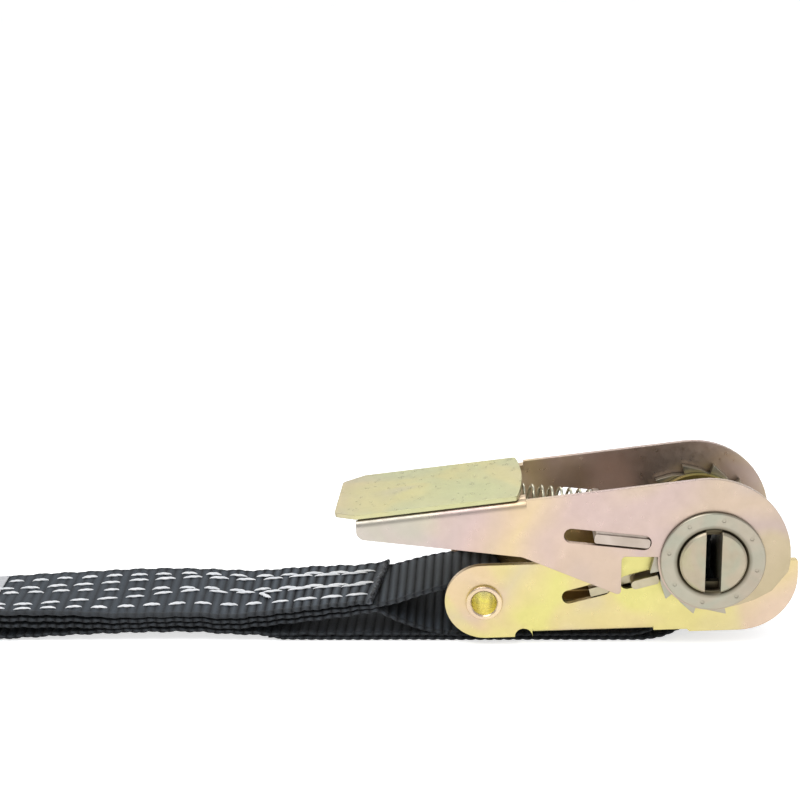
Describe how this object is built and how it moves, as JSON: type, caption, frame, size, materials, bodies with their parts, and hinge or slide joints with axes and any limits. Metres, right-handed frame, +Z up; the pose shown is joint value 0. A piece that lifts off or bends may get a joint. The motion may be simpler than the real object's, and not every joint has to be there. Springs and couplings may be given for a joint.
{
  "type": "ratchet strap",
  "caption": "Hand ratchet strap: a pressed frame with a swinging handle, pawls and a slotted winding spool on narrow woven webbing, rolled up beside it.",
  "frame": {"origin": "on the resting surface, straight below the anchor pin's axis, half way across the webbing", "axes": "+X along the strap from the anchor pin to the spool, +Y across the webbing, +Z up"},
  "size_m": [0.391, 0.046, 0.0751],
  "materials": {
    "zinc_plate": "yellow zinc plating with a pink and green sheen",
    "zinc_handle": "yellow zinc plating with a pink and green sheen",
    "zinc_ring": "pale green zinc plating",
    "pawl_steel": "zinc plated, satin",
    "spring_wire": "drawn spring wire",
    "webbing": "woven polyester, ribbed across, braided selvages",
    "thread": "white polyester thread",
    "label": "blank woven label"
  },
  "bodies": {
    "root": {"base_frame": "zinc_plate", "anchor_pin": "zinc_plate", "base_pawl_spring": "spring_wire", "anchor_loop": "webbing", "main_strap_sewn_end": "webbing", "main_strap_lower_run": "webbing", "strap_roll": "webbing", "stitching": "thread", "blank_label": "label"},
    "frame_pawl": {"base_pawl": "pawl_steel"},
    "spool": {"half_shaft_left": "zinc_ring", "half_shaft_right": "zinc_ring", "ratchet_wheel_near": "zinc_plate", "ratchet_wheel_far": "zinc_plate", "retaining_ring_near": "zinc_ring", "retaining_ring_far": "zinc_ring", "wound_webbing": "webbing"},
    "handle": {"handle_side_near": "zinc_handle", "handle_side_far": "zinc_handle", "grip_plate": "zinc_plate", "handle_pawl_spring": "spring_wire"},
    "drive_pawl": {"handle_pawl": "pawl_steel"}
  },
  "joints": [
    {"name": "handle_swing", "type": "hinge", "parent": "root", "child": "handle", "pos_m": [0.075, 0, 0.033], "axis": [0, 1, 0], "range_deg": [0, 162]},
    {"name": "spool_turn", "type": "hinge", "parent": "root", "child": "spool", "pos_m": [0.075, 0, 0.033], "axis": [0, 1, 0], "continuous": true},
    {"name": "frame_pawl_slide", "type": "slide", "parent": "root", "child": "frame_pawl", "axis": [-0.9636, 0, -0.2672], "range_m": [0, 0.0032], "stiffness_N_per_m": 600, "springref_m": -0.004, "deforming": ["base_pawl_spring"]},
    {"name": "drive_pawl_slide", "type": "slide", "parent": "handle", "child": "drive_pawl", "axis": [-0.9938, 0, 0.1115], "range_m": [0, 0.0085], "stiffness_N_per_m": 500, "springref_m": -0.006, "deforming": ["handle_pawl_spring"]}
  ]
}
